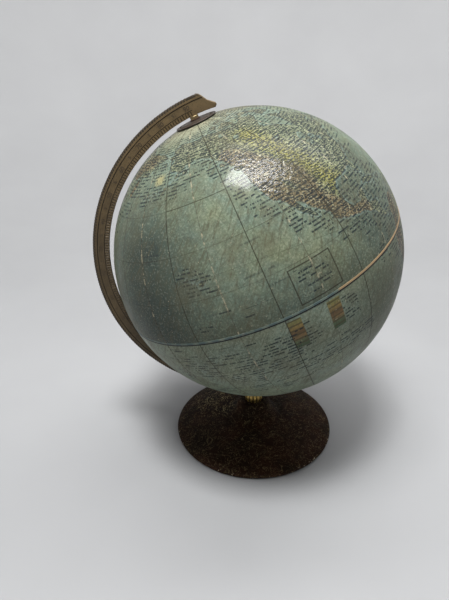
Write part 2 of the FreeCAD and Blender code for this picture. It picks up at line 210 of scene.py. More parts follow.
for method, operation in {
        "__add__": "ADD", "__radd__": "ADD", "__sub__": "SUBTRACT", "__mul__": "MULTIPLY",
        "__rmul__": "MULTIPLY", "__truediv__": "DIVIDE", "__pow__": "POWER", "abs": "ABSOLUTE",
        "floor": "FLOOR", "part": "FRACT", "most": "MAXIMUM"}.items():
    setattr(Wire, method, math_call(operation))


class Graph:
    """A material and short calls for the nodes it needs."""

    def __init__(self, name):
        self.material = bpy.data.materials.new(name)
        self.material.use_nodes = True
        self.nodes = self.material.node_tree.nodes
        self.links = self.material.node_tree.links
        self.surface = self.nodes["Principled BSDF"]

    def node(self, kind, **settings):
        made = self.nodes.new(kind)
        for name, value in settings.items():
            setattr(made, name, value)
        return made

    def feed(self, socket, value):
        if isinstance(value, Wire):
            self.links.new(value.socket, socket)
        elif value is not None:
            flat = isinstance(value, (int, float))
            colour = socket.type == "RGBA" and not flat and len(value) == 3
            socket.default_value = (*value, 1) if colour else value

    def made(self, kind, inputs, output=0, **settings):
        """A new node with its inputs fed, as the wire of one of its outputs."""
        node = self.node(kind, **settings)
        for socket, value in inputs.items():
            self.feed(node.inputs[socket], value)
        return Wire(self, node.outputs[output])

    def math(self, operation, first, second=None):
        return self.made("ShaderNodeMath", {0: first, 1: second}, operation=operation)

    def span(self, value, low, high, to_low=0.0, to_high=1.0):
        return self.made("ShaderNodeMapRange", {0: value, 1: low, 2: high, 3: to_low, 4: to_high})

    def attribute(self, name, vector=False):
        return self.made("ShaderNodeAttribute", {}, "Vector" if vector else "Fac", attribute_name=name)

    def place(self):
        """Coordinates on the piece, in mm."""
        spot = self.made("ShaderNodeTexCoord", {}, "Object")
        return self.made("ShaderNodeVectorMath", {0: spot, "Scale": 1 / MM}, operation="SCALE")

    def join(self, x=0.0, y=0.0, z=0.0):
        return self.made("ShaderNodeCombineXYZ", {0: x, 1: y, 2: z})

    def noise(self, vector, size, detail=3.0, rough=0.55, twist=0.0):
        """Cloudy noise whose features are about size mm across."""
        return self.made("ShaderNodeTexNoise", {
            "Vector": vector, "Scale": 1 / size, "Detail": detail, "Roughness": rough, "Distortion": twist})

    def dot(self, vector, fixed):
        return self.made("ShaderNodeVectorMath", {0: vector, 1: fixed}, "Value", operation="DOT_PRODUCT")

    def crack_distance(self, vector, size):
        """Distance to the nearest edge of cells about size mm across."""
        return self.made("ShaderNodeTexVoronoi", {"Vector": vector, "Scale": 1 / size}, "Distance",
                         feature="DISTANCE_TO_EDGE")

    def chance(self, x, y, z=0.0):
        """A number from 0 to 1 that is the same over one cell."""
        return self.made("ShaderNodeTexWhiteNoise", {"Vector": self.join(x, y, z)}, "Value",
                         noise_dimensions="3D")

    def mix(self, share, first, second):
        return self.made("ShaderNodeMix", {0: share, 6: first, 7: second}, 2, data_type="RGBA")

    def ramp(self, value, stops):
        made = self.node("ShaderNodeValToRGB")
        while len(made.color_ramp.elements) < len(stops):
            made.color_ramp.elements.new(0.5)
        for element, (position, colour) in zip(made.color_ramp.elements, stops):
            element.position = position
            element.color = (*colour, 1)
        self.feed(made.inputs[0], value)
        return Wire(self, made.outputs[0])

    def finish(self, colour, rough, metal=0.0, bump=None, bump_mm=0.1, coat=0.0, coat_rough=0.15):
        surface = self.surface.inputs
        self.feed(surface["Base Color"], colour)
        self.feed(surface["Roughness"], rough)
        surface["Metallic"].default_value = metal
        surface["Coat Weight"].default_value = coat
        surface["Coat Roughness"].default_value = coat_rough
        if bump is not None:
            made = self.node("ShaderNodeBump")
            made.inputs["Distance"].default_value = bump_mm * MM
            self.feed(made.inputs["Height"], bump)
            self.links.new(made.outputs[0], surface["Normal"])
            self.links.new(made.outputs[0], surface["Coat Normal"])
        return self.material


# ---- the world's outlines, longitude and latitude

AMERICAS = [
    (-168, 66), (-162, 66.5), (-166, 68.3), (-157, 71.3), (-141, 69.7), (-128, 70.3), (-115, 68.2),
    (-100, 67.8), (-94, 69), (-94, 71.8), (-91.5, 69.5), (-86, 67.5), (-82, 69.5), (-82, 67),
    (-87, 65), (-94, 61), (-93, 58.7), (-85, 55.3), (-82.5, 53), (-79.5, 51.3), (-79, 55),
    (-77, 57.5), (-77.5, 62.5), (-73, 62), (-69.5, 59), (-66, 58.8), (-64.5, 60.3), (-62, 57),
    (-56, 52.5), (-60, 50.2), (-66.5, 50.2), (-71, 46.9), (-65, 48.8), (-64.8, 47), (-60.5, 47),
    (-66, 43.5), (-70, 43.8), (-70, 41.7), (-74, 40.6), (-76, 35.2), (-81.3, 31.3), (-80.2, 27),
    (-80.4, 25.2), (-81.8, 26), (-82.8, 28), (-84, 30), (-89.5, 29.2), (-95, 29.2), (-97.3, 27),
    (-97.8, 22.5), (-96, 19.2), (-91.5, 18.6), (-90.3, 21), (-87, 21.5), (-88.7, 15.9), (-83.3, 15),
    (-83.7, 11), (-81.5, 9), (-79.5, 9.5), (-77.3, 8.7), (-75.5, 10.6), (-72, 12), (-68, 11),
    (-62, 10.7), (-60, 8.5), (-52, 5), (-50, 0.5), (-44, -2.5), (-39, -3), (-35.2, -5.5), (-35, -9),
    (-39, -13.5), (-39, -18), (-41, -22), (-48.5, -26), (-53.5, -34), (-57.5, -34.7), (-57, -38),
    (-62, -39), (-65, -41), (-67.5, -46), (-69, -51), (-65.3, -54.8), (-69, -55.5), (-74, -52.5),
    (-75.5, -48), (-73.5, -42), (-73.5, -37), (-71.5, -32), (-70.3, -24), (-70.3, -18.4),
    (-76.3, -14), (-79.5, -8), (-81.3, -5), (-80.8, -1), (-79, 1.5), (-77.3, 4), (-77.8, 7.3),
    (-80, 7.4), (-82.8, 8.3), (-85.7, 10), (-87.5, 13), (-94.5, 16.2), (-102, 18), (-105.5, 20.3),
    (-105.5, 22.5), (-108.5, 25.3), (-112.5, 29.5), (-114.8, 31.5), (-113, 28.5), (-109.5, 23.1),
    (-112, 25), (-115, 28), (-117, 32.3), (-120.5, 34.5), (-122.4, 37.5), (-124.3, 43), (-124.7, 48.4),
    (-123.2, 49.3), (-127.5, 51.3), (-130, 54.8), (-136.5, 58.5), (-146, 60.7), (-151.5, 59.3),
    (-151, 61.2), (-154, 59.3), (-158.5, 56.2), (-165, 54.4), (-161.5, 55.8), (-157.5, 58.6),
    (-162, 58.7), (-165.3, 61.5), (-161, 64.4), (-166, 64.5)]

OLD_WORLD = [
    (-9, 37), (-9.5, 39), (-8.8, 43.2), (-1.8, 43.4), (-1.2, 46), (-4.7, 48.4), (0.2, 49.7), (4, 52),
    (8.8, 54), (8.2, 57), (10.6, 57.7), (10, 55), (14.3, 53.9), (18.6, 54.6), (21.2, 57.5),
    (24.3, 57.3), (23.5, 59.2), (30, 59.9), (22.5, 60), (21.3, 61.5), (25, 65.2), (22, 65.8),
    (17.2, 61.7), (18.7, 60), (14.3, 55.5), (11.2, 59), (7.5, 58), (5, 62), (14.5, 68), (26, 71),
    (41, 67.2), (34.5, 66.7), (35, 64.3), (44, 66.2), (44.5, 68.3), (68, 68.5), (70, 73), (80, 72.3),
    (87, 75), (104.5, 77.7), (113, 74), (127, 73.3), (140, 72.5), (160, 69.7), (178, 69), (190, 66.2),
    (180, 64.8), (177.5, 62.5), (170.5, 60), (163.5, 59.8), (162, 54.8), (156.8, 51), (155.7, 55.5),
    (163, 61.8), (155, 59.3), (142.5, 59.3), (135.2, 54.7), (141, 53), (140, 48), (135, 43.5),
    (130.7, 42.3), (127.6, 39.5), (129.2, 35.2), (126.4, 34.5), (125, 39.6), (121.5, 39), (118, 39),
    (122.5, 37), (120, 35), (122, 31), (118, 24.5), (110.3, 21), (105.8, 19), (109, 13.5), (105, 8.7),
    (105, 10.5), (100.8, 13.4), (99.5, 10.5), (103.4, 4), (104, 1.4), (101, 3), (98.4, 8), (97, 17),
    (94.3, 16), (91.5, 22.5), (87, 21.3), (80.2, 13), (77.5, 8.1), (73, 16), (72.7, 20.5), (69, 22.3),
    (67, 24.8), (57, 26), (51.5, 27.9), (48.2, 29.8), (51.5, 25), (56.3, 26), (59.8, 22.4), (55, 17),
    (45, 12.8), (42.7, 16.5), (39, 21), (35, 28), (32.6, 29.9), (35.5, 24), (37.2, 20), (43, 12),
    (51.2, 11.9), (49, 7), (44, 1.5), (40, -3), (40.7, -14.5), (35, -20), (35.5, -24), (32.8, -26),
    (28, -33), (20, -34.8), (17, -29), (14.5, -23), (11.8, -17), (13.8, -11), (9, -1), (9.7, 3.8),
    (4.4, 6.3), (-7.7, 4.4), (-13.3, 8.7), (-17.5, 14.7), (-17, 21.5), (-9.7, 30), (-6, 35.8),
    (3, 36.9), (10, 37.3), (11, 34), (15.5, 32.3), (19.5, 30.5), (21.8, 32.8), (31, 31.5),
    (34.3, 31.3), (35.8, 35.8), (30.5, 36.4), (26.5, 39.5), (29, 41.1), (35, 42), (41.5, 41.5),
    (37, 45.3), (39, 47.1), (33.5, 44.6), (31, 46.5), (28, 41.8), (23.5, 40.3), (22.8, 36.5),
    (19.4, 41), (13.7, 45.6), (12.4, 44.5), (18.4, 40.2), (16, 38), (12.3, 41.8), (8.8, 44.4),
    (3.2, 42), (-0.7, 37.7), (-5.6, 36.1)]

AUSTRALIA = [
    (114, -22), (113.7, -26), (115.7, -32), (118, -35), (123.7, -33.9), (131, -31.5), (138, -33.5),
    (140.7, -38), (146.4, -39), (150, -37.3), (153.5, -29), (153, -25), (146, -18.8), (145.3, -15),
    (142.5, -10.8), (140.8, -17.4), (135.5, -15), (136.7, -12.2), (132.5, -11.3), (126, -14),
    (122.3, -17.5), (119, -20)]

ANTARCTICA = [
    (-180, -78.3), (-158, -77.5), (-125, -73.5), (-100, -72), (-80, -73), (-68, -69), (-57, -63.3),
    (-61, -66.5), (-62, -73), (-78, -78.5), (-35, -78), (-15, -72.5), (15, -70), (55, -66),
    (70, -68.5), (110, -66), (135, -66), (170, -71.5), (166, -77.5), (180, -78.3), (180, -90), (-180, -90)]

ISLANDS = [
    [(-73, 78.2), (-60, 82), (-35, 83.5), (-20, 80), (-22, 70.5), (-40, 65), (-43, 60), (-53.5, 66.5),
     (-55, 71.5), (-68, 76)],
    [(-82, 73.7), (-67, 69), (-61.5, 66.5), (-64.5, 63), (-78, 64.5), (-73, 68.5), (-89, 70.5)],
    [(-117, 71), (-108, 73), (-101.5, 69.5), (-106, 68.7), (-117, 69.8)],
    [(-125, 72), (-124, 74.2), (-116, 73), (-121, 71.3)],
    [(-90, 76.5), (-92, 81), (-75, 83.2), (-62, 82.5), (-78, 77)],
    [(-94, 76), (-81, 75.7), (-80, 74.6), (-92, 74.7)],
    [(-101, 72.5), (-96, 73.8), (-91, 73.7), (-93.5, 72)],
    [(-117, 76), (-105, 76.5), (-106, 75), (-114, 74.7)],
    [(-59.2, 47.8), (-56.5, 51.4), (-53, 48), (-56, 47)],
    [(-84.8, 21.9), (-82.5, 23.1), (-74.3, 20.2), (-77.5, 19.9)],
    [(-74.3, 18.4), (-73, 19.9), (-68.4, 18.5)],
    [(-5.5, 50), (1.3, 51.2), (0.3, 53), (-2, 57.6), (-5, 58.6), (-6, 56.5), (-3, 54.8), (-5, 51.7)],
    [(-10, 51.6), (-6.2, 52.2), (-8, 55.2)],
    [(-22.5, 64), (-24, 65.6), (-16, 66.4), (-13.7, 65), (-18.5, 63.5)],
    [(11, 79.5), (16, 76.7), (25, 80.2)],
    [(52, 71.5), (56, 70.7), (68.5, 76.8), (60, 76)],
    [(44, -25), (43.3, -22), (49.3, -12.2), (50.3, -15.5), (47.2, -24.8)],
    [(95.4, 5.6), (105.8, -3), (105.8, -5.8), (98.6, 1.7)],
    [(105.3, -6.7), (114.4, -7.8), (106.5, -7.4)],
    [(109, 1.5), (117, 7), (119, 5), (116, -3.8), (110.3, -2.8)],
    [(119.4, -5.5), (119.8, 0.7), (125, 1.4), (121, -0.7), (123, -4.7)],
    [(131, -0.8), (141, -2.6), (147.5, -6), (150.7, -10.3), (144, -7.7), (138, -8.3), (133, -4)],
    [(120.3, 16), (121, 18.5), (124, 12.7), (120.7, 13.8)],
    [(130, 33.5), (136.8, 37), (140.3, 41.1), (142, 39.6), (140.8, 35.8), (135.8, 33.5), (130.5, 31.3)],
    [(140, 42), (141.7, 45.3), (145.3, 43.3), (143.2, 42)],
    [(142, 46), (142, 53.5), (143.5, 49)],
    [(144.8, -41), (148.2, -41), (147, -43.5)],
    [(173, -34.5), (178.4, -37.7), (175.3, -41.5), (174.6, -37.5)],
    [(172.7, -40.6), (174.2, -41.6), (168.5, -46.6), (166.7, -45.7)]]

CASPIAN = [(47, 45), (53, 46.5), (51, 44.5), (54, 37), (50, 37.5), (49.5, 40.5)]

# Small islands and lakes: longitude, latitude, radius in degrees.
SPECKS = [
    (-155.5, 19.6, 0.8), (-158, 21.4, 0.4), (-160, 22, 0.3), (-153.5, 57.5, 0.9), (-149.5, -17.6, 0.4),
    (-140, -9, 0.3), (-160, -19, 0.3), (178, -17.8, 0.9), (166, -21, 1.0), (-77.3, 18.1, 0.7),
    (-66.5, 18.2, 0.6), (-91, -0.5, 0.5), (-132.2, 53.3, 0.7), (-126, 49.6, 1.0), (-59, -51.8, 1.0),
    (81, 7.5, 1.5), (125, 7.7, 1.9), (123, 10.6, 1.1), (121, 23.7, 1.0), (110, 19.2, 0.9), (14, 37.5, 0.9),
    (9, 40, 0.8), (9, 42.2, 0.5), (24.8, 35.2, 0.7), (33.2, 35, 0.5), (103, 79, 1.4), (144, 75, 1.4),
    (-17, 28.3, 0.6), (-25.5, 37.7, 0.4), (-144, -16, 0.3), (-171.7, -13.7, 0.4), (-171, 63.4, 0.7)]
LAKES = [(-87, 47.5, 1.6), (-87, 43.5, 1.4), (-82.5, 45, 1.3), (-80, 42.5, 0.9), (-121, 66, 1.2),
         (-114, 61.8, 1.3), (-98, 52.5, 1.0), (33, -1, 1.4), (108, 53.5, 1.2), (59.5, 45, 1.3)]

ALEUTIANS = [(-167, 53.4), (-170, 52.7), (-174, 52.1), (-178, 51.7), (-182, 51.9), (-187, 53)]

RANGES = [
    [(-126, 55), (-118, 49), (-112, 43), (-107, 38), (-106, 33)],
    [(-121, 46), (-118, 38), (-115, 33)],
    [(-109, 31), (-104, 24), (-99, 18.5), (-92, 15.5)],
    [(-73, 9), (-76, 3), (-78.5, -2), (-76, -11), (-68.5, -17), (-68, -25), (-70, -33), (-73, -49)],
    [(70, 36), (80, 32), (90, 29), (98, 29)], [(80, 35), (92, 34), (100, 34)],
    [(70, 41), (82, 42.5), (95, 45)], [(88, 49), (100, 52), (115, 55), (130, 56)],
    [(6, 45), (14, 47)], [(30, 38), (42, 39), (52, 32), (60, 28)], [(59, 53), (61, 66)],
    [(7, 61), (17, 67)], [(-7, 31.5), (8, 35.5)], [(38, 14), (38, 7), (35, 0), (34, -10), (29, -29)],
    [(146, -18), (151, -28), (147, -37)], [(160, 55), (150, 63), (168, 67)], [(-46, -20), (-42, -13)]]

# Open plains and deserts, coloured yellow.
PLAINS = [
    [(-109, 60), (-106, 53), (-102, 45), (-99, 37), (-96, 30)], [(-12, 22), (10, 23), (30, 22), (48, 24)],
    [(62, 42), (72, 47), (45, 49)], [(100, 43), (112, 44)], [(122, -24), (138, -25)],
    [(-64, -28), (-66, -40)], [(18, -24), (24, -22)], [(-62, 5), (-60, -16)]]

# Small print in the empty ocean: longitude and latitude of the corners, and how crowded it is.
PRINTED = [(-126.5, -115, 4, 12.5, 0.75), (-130, -124.5, -12, -3, 0.85), (-115.6, -110, -13, -3, 0.85),
           (-153, -133, -20, -10, 0.85), (-162, -150, 15.5, 18.5, 0.8), (-160, -144, -9, -6, 0.8),
           (-178, -128, -34, -3, 0.32), (-131, -104, -26, -16, 0.55), (-162, -157, 2.5, 6, 0.8),
           (-164, -133, 8.2, 9.8, 0.6), (-151, -140, 4.4, 5.8, 0.6)]


def on_ball(places):
    """Unit vectors in the globe frame for longitude and latitude pairs."""
    lon, lat = np.radians(np.asarray(places, float)).T
    turn = lon + math.radians(MAP_TURN)
    return np.stack([np.cos(lat) * np.cos(turn), np.cos(lat) * np.sin(turn), np.sin(lat)], -1)


def nearest(points, path, closed):
    """Degrees from each point to the nearest piece of a path on the ball."""
    corners = on_ball(path)
    ends = np.roll(corners, -1, 0) if closed else corners[1:]
    starts = corners if closed else corners[:-1]
    best = np.full(len(points), 9.0)
    for start, end in zip(starts, ends):
        along = end - start
        share = np.clip((points - start) @ along / (along @ along), 0, 1)
        best = np.minimum(best, np.linalg.norm(points - start - share[:, None] * along, axis=1))
    return np.degrees(best)


def inside(lon, lat, path):
    """Even-odd test in longitude and latitude, for an outline that may pass 180 degrees."""
    found = np.zeros(len(lon), bool)
    for turn in (-360, 0, 360):
        x = lon + turn
        for (x1, y1), (x2, y2) in zip(path, path[1:] + path[:1]):
            if y1 != y2:
                crosses = (y1 > lat) != (y2 > lat)
                found ^= crosses & (x < (x2 - x1) * (lat - y1) / (y2 - y1) + x1)
    return found


def closeness(points, paths, reach):
    """1 on any of the paths, fading over reach degrees."""
    close = np.zeros(len(points))
    for path in paths:
        close = np.maximum(close, np.exp(-(nearest(points, path, False) / reach) ** 2))
    return close


def gap_to(points, lon, lat):
    """Degrees from each point to one place."""
    return np.degrees(np.linalg.norm(points - on_ball([(lon, lat)]), axis=1))


def ground_fields(lon, lat):
    """Signed degrees to the coast (land positive), closeness to mountains, share of print, plains."""
    points = on_ball(np.stack([lon, lat], -1))
    wrapped = (lon + 180) % 360 - 180
    coast = np.full(len(lon), -90.0)
    for outline in [AMERICAS, OLD_WORLD, AUSTRALIA, ANTARCTICA] + ISLANDS:
        polar = outline is ANTARCTICA
        edge = nearest(points, outline[:-2] if polar else outline, not polar)
        coast = np.maximum(coast, np.where(inside(wrapped, lat, outline), edge, -edge))
    sea = nearest(points, CASPIAN, True)
    coast = np.minimum(coast, np.where(inside(wrapped, lat, CASPIAN), -sea, sea))
    print_share = np.interp(coast, [-7.5, -5.5, -3.5, 1], [0, 0.55, 0.95, 0.97])
    for speck_lon, speck_lat, radius in SPECKS + [(a, b, 0.35) for a, b in ALEUTIANS]:
        gap = gap_to(points, speck_lon, speck_lat)
        coast = np.maximum(coast, radius - gap)
        print_share = np.maximum(print_share, np.interp(radius - gap, [-4.2, -2.8, 0], [0, 0.8, 0.95]))
    for lake_lon, lake_lat, radius in LAKES:
        coast = np.minimum(coast, gap_to(points, lake_lon, lake_lat) - radius)
    for west, east, south, north, crowded in PRINTED:
        panel = (wrapped > west) & (wrapped < east) & (lat > south) & (lat < north)
        print_share = np.maximum(print_share, crowded * panel)
    return coast, closeness(points, RANGES, 3.6), print_share, closeness(points, PLAINS, 4.4)


# ---- the map's material

def rule_line(distance, width):
    """1 on a printed line: distance in mm from its middle."""
    return distance.below(width, width * 0.5)


def print_rows(g, across, along, gore, row_mm, cell_mm, height, letter_mm, share):
    """Rows of small illegible print: words of random length made of upright strokes."""
    row = (along / row_mm).floor()
    shifted = across + g.chance(row, gore, 3.0) * cell_mm
    cell = (shifted / cell_mm).floor()
    present = g.math("LESS_THAN", g.chance(cell, row, gore), share)
    length = g.chance(cell, row, gore + 7.0) * 0.4 + 0.5
    word = g.math("LESS_THAN", (shifted / cell_mm).part(), length)
    band = (along / row_mm).part().between(0.5 - height / 2, 0.5 + height / 2, 0.06)
    stroke = g.chance((shifted / letter_mm).floor(), row, 11.0).above(0.22, 0.1)
    return present * word * band * stroke


def map_panel(lon, lat, west, east, south, north, width):
    """The outline of a printed frame."""
    def edge(value, low, high):
        middle, half = (low + high) / 2, (high - low) / 2
        return (value - middle).abs() - half
    out = edge(lon, west, east).most(edge(lat, south, north))
    return rule_line(out.abs(), width)


def route_line(g, globe, start, end):
    """A thin great-circle line between two places."""
    first, last = (Vector(row) for row in on_ball([start, end]))
    middle = (first + last).normalized()
    line = rule_line(g.dot(globe, first.cross(last).normalized()).abs() * BALL, 0.2)
    return line * g.dot(globe, middle).above(middle.dot(first))


ROUTES = [((-122, 37), (-157, 21)), ((-122, 37), (-220, 35)), ((-157, 21), (-220, 35)),
          ((-125, 48), (-157, 21)), ((-79, 8), (-157, 21)), ((-118, 33), (-150, -17)),
          ((-79, 8), (-184, -37)), ((-122, 37), (-79, 8)), ((-157, 21), (-182, -18)),
          ((-74, 40), (-5, 50)), ((-35, -6), (-9, 38)), ((18, -34), (115, -32))]


def land_colour(g, height, lat, plains):
    """Grey-green lowland, yellow plains, tan to brown uplands, cream toward the poles."""
    low = g.mix(plains, (0.165, 0.190, 0.118), (0.265, 0.250, 0.066))
    upland = g.ramp(height, [
        (0.0, (0.24, 0.215, 0.115)), (0.5, (0.215, 0.168, 0.092)), (1.0, (0.145, 0.108, 0.062))])
    colour = g.mix(g.span(height, 0.22, 0.42), low, upland)
    return g.mix(g.span(lat.abs(), 62, 73, 0.0, 0.7), colour, (0.24, 0.23, 0.145))


def sea_colour(g, spot, lon, lat):
    """Faded grey-green and blue-green, browner where the varnish is thick, cream toward the poles; painted shade
    darkens the ball's left and right sides and a band just north of the equator.
    """
    tone = g.noise(spot, 55, 2).between(0.42, 0.62, 0.08)
    tone = g.mix(tone, (0.158, 0.186, 0.114), (0.140, 0.188, 0.140))
    tone = g.mix(g.noise(spot, 9, 4).above(0.55, 0.12) * 0.45, tone, (0.215, 0.235, 0.155))
    tone = g.mix(g.noise(spot, 13, 4, 0.65).above(0.58, 0.1) * 0.4, tone, (0.085, 0.115, 0.098))
    # Painted shade: the ball's left side (west), its right side (east) and a band just north of the equator are
    # darkened in cloudy patches. This applies only north of the equator and fades out by 58 degrees north.
    cloudy = g.noise(spot, 30, 3).above(0.42, 0.25) * 0.25 + 0.82
    west = g.span(lon.abs(), 146, 172, 0.0, 0.95)
    east = lon.between(-106, -72, 9) * 0.6
    painted_side_shade = west.most(east).most(g.span(lat, 17, 2, 0.0, 0.62)) * cloudy * g.span(lat, 34, 58, 1.0, 0.0)
    tone = g.mix(painted_side_shade * lat.above(0.0, 0.05), tone, (0.030, 0.046, 0.042))
    tone = g.mix(lat.below(0.0, 0.05) * 0.30, tone, (0.26, 0.31, 0.25))
    # Painted shade on the ball's right side south of the equator.
    tone = g.mix(lon.between(-110, -74, 8) * lat.between(-38, 0, 5) * 0.62, tone, (0.060, 0.068, 0.044))
    return g.mix(g.span(lat.abs(), 70, 80, 0.0, 0.7), tone, (0.31, 0.29, 0.195))


def paper_streaks(g, across, along):
    """Fibres and varnish streaks that run slantwise over the paper, three ways."""
    steep = g.noise(g.join(across * 0.9 + along * 0.2, along * 0.11 - across * 0.02), 1.9, 3, 0.68)
    level = g.noise(g.join(across * 0.13 + along * 0.04, along * 0.8 - across * 0.25), 1.8, 3, 0.68)
    other = g.noise(g.join(across * 0.8 - along * 0.6, along * 0.11 + across * 0.08), 2.4, 3, 0.68)
    return (steep.above(0.57, 0.08) * 0.6).most(level.above(0.59, 0.08) * 0.7).most(other.above(0.57, 0.08))


def legend_boxes(g, colour, lon, lat):
    """Two small panels of coloured stripes just south of the equator."""
    south, north = -12.6, -1.4
    stripes = g.ramp(g.span(lat, south, north), [
        (0.0, (0.045, 0.090, 0.050)), (0.22, (0.080, 0.115, 0.060)), (0.40, (0.19, 0.12, 0.055)),
        (0.55, (0.11, 0.065, 0.032)), (0.75, (0.22, 0.155, 0.055)), (0.9, (0.17, 0.16, 0.060))])
    for west, east, shift in ((-135, -130.2, 0.0), (-121, -116.3, 0.3)):
        inside_box = lon.between(west, east, 0.1) * lat.between(south, north, 0.1)
        banded = (lat * 0.54 + shift).part().above(0.3, 0.08) * 0.75 + 0.2
        colour = g.mix(inside_box, colour, g.mix(banded, (0.055, 0.045, 0.025), stripes))
    return colour


def printed_words(g, spot, across, along, gore, share, land):
    """All the small print: long rows off the coasts, a crowded jumble on land, few in open sea."""
    drift = g.noise(spot, 6, 2) - 0.5
    lean = across + along * 0.3
    ink = print_rows(g, across, along + drift * 0.7, gore, 3.3, 17, 0.44, 0.9, share)
    inland = share * land
    ink = ink.most(print_rows(g, lean, along + drift * 3.4, gore + 31.0, 1.9, 4, 0.52, 0.7, inland * 0.85))
    crossed = along * 0.9 + across * 0.35 - drift * 3.0
    steep = across - along * 0.5
    ink = ink.most(print_rows(g, steep, crossed, gore + 43.0, 2.3, 5, 0.42, 0.8, inland * 0.7))
    return ink.most(print_rows(g, across, along, gore + 57.0, 13, 31, 0.085, 1.1, 0.13) * 0.7)


def printed_lines(g, lon, lat, middle, spot, globe, land):
    """Meridians, parallels, a frame in the open ocean and ships' routes."""
    lines = rule_line(middle, 0.42)
    dashes = (lat / 1.6).part().below(0.6, 0.05) * lat.between(-60, 66)
    lines = lines.most(rule_line((lon.abs() - 180).abs() * DEGREE, 0.9) * dashes * 0.7)
    parallel = ((lat / 15 + 0.5).part() - 0.5).abs() * 15 * DEGREE
    strength = g.noise(spot, 70, 1).above(0.46, 0.16) * 0.5 + 0.15
    strength = strength.most(lon.between(-165, -135) * lat.between(40, 50))
    lines = lines.most(rule_line(parallel, 0.36) * strength)
    lines = lines.most(map_panel(lon, lat, -128.2, -113.2, 2, 13.8, 0.2))
    for start, end in ROUTES:
        lines = lines.most(route_line(g, globe, start, end) * 0.4 * (1 - land))
    return lines


def ground_colour(g, spot, lon, lat, coast, land, peaks, share):
    """Sea and land under the print: coast line, hill strokes, pale glints and dark blots on land."""
    height = peaks * 0.62 + g.noise(spot, 14, 4, 0.6) * 0.5 - 0.17
    ground = land_colour(g, height, lat, g.attribute("plains"))
    colour = g.mix(land, sea_colour(g, spot, lon, lat), ground)
    colour = g.mix((coast + 0.5).abs().below(0.16, 0.1) * 0.4, colour, (0.19, 0.28, 0.27))
    colour = g.mix(coast.abs().below(0.10, 0.08) * 0.8, colour, (0.025, 0.035, 0.04))
    ridge = g.noise(spot, 2.6, 4, 0.7).above(0.52, 0.06) * g.span(peaks, 0.2, 0.7) * land
    colour = g.mix(ridge * 0.55, colour, (0.045, 0.03, 0.022))
    glint = g.noise(spot, 1.9, 2, 0.5).above(0.60, 0.05) * g.span(share, 0.5, 0.9)
    colour = g.mix(glint * (land * 0.55 + 0.15), colour, (0.44, 0.43, 0.28))
    blots = g.noise(spot, 1.5, 2, 0.6).above(0.58, 0.05) * land
    colour = g.mix(blots * 0.55, colour, (0.045, 0.052, 0.042))
    yellowed = lon.between(-175.5, -169, 1.6) * lat.between(55.6, 59.2, 0.9)
    return g.mix(yellowed * 0.75, colour, (0.40, 0.36, 0.17))


def seam_wear(g, spot, colour, seam):
    """The lap of two gores, rubbed through in places, with flecks and stains; also how worn it is."""
    worn = seam.below(0.55, 0.35) * g.noise(spot, 7, 4, 0.7).above(0.57, 0.04)
    colour = g.mix(rule_line(seam, 0.3) * 0.6, colour, (0.055, 0.048, 0.034))
    colour = g.mix(worn * 0.8, colour, (0.38, 0.34, 0.23))
    flecks = g.noise(spot, 2.4, 2, 0.5).above(0.73, 0.02)
    colour = g.mix(flecks * 0.6, colour, (0.36, 0.33, 0.23))
    stains = g.noise(spot, 34, 5, 0.65).above(0.58, 0.1)
    return g.mix(stains * 0.4, colour, (0.085, 0.075, 0.045)), worn


def map_paper():
    """The varnished map: ground, paper fibre, key boxes, streaks, print, lines and wear."""
    g = Graph("map_paper")
    lon, lat, shrink = g.attribute("place", True).split()
    across, along, gore = g.attribute("sheet", True).split()
    coast_far, peaks, share = g.attribute("ground", True).split()
    spot = g.place()
    coast = coast_far + (g.noise(spot, 9, 4, 0.6) - 0.5) * 2.2
    land = coast.above(0.0, 0.06)
    colour = ground_colour(g, spot, lon, lat, coast, land, peaks, share)
    fibre = g.noise(spot, 1.8, 3, 0.7)
    colour = g.mix(fibre.above(0.54, 0.06) * 0.34, colour, (0.050, 0.056, 0.044))
    colour = g.mix(fibre.below(0.42, 0.04) * 0.24, colour, (0.34, 0.36, 0.28))
    colour = legend_boxes(g, colour, lon, lat)
    colour = g.mix(paper_streaks(g, across, along) * 0.62, colour, (0.068, 0.062, 0.038))
    words = printed_words(g, spot, across, along, gore, share, land)
    colour = g.mix(words * 0.92, colour, (0.014, 0.02, 0.024))
    middle = across.abs()
    lines = printed_lines(g, lon, lat, middle, spot, g.attribute("globe", True), land)
    colour = g.mix(lines * 0.85, colour, (0.022, 0.018, 0.012))
    colour, worn = seam_wear(g, spot, colour, (GORE_WIDTH / 2 * DEGREE) * shrink - middle)
    relief = g.noise(spot, 3.6, 2, 0.5) * (land * 0.75 + peaks * land * 0.6 + 0.12) + worn * 0.2
    rough = g.span(g.noise(spot, 22, 3), 0.3, 0.7, 0.34, 0.52)
    g.surface.inputs["Specular IOR Level"].default_value = 0.05
    g.surface.inputs["Coat IOR"].default_value = 2.2
    return g.finish(colour, rough, bump=relief, bump_mm=0.5, coat=0.07, coat_rough=0.14)


# ---- other materials

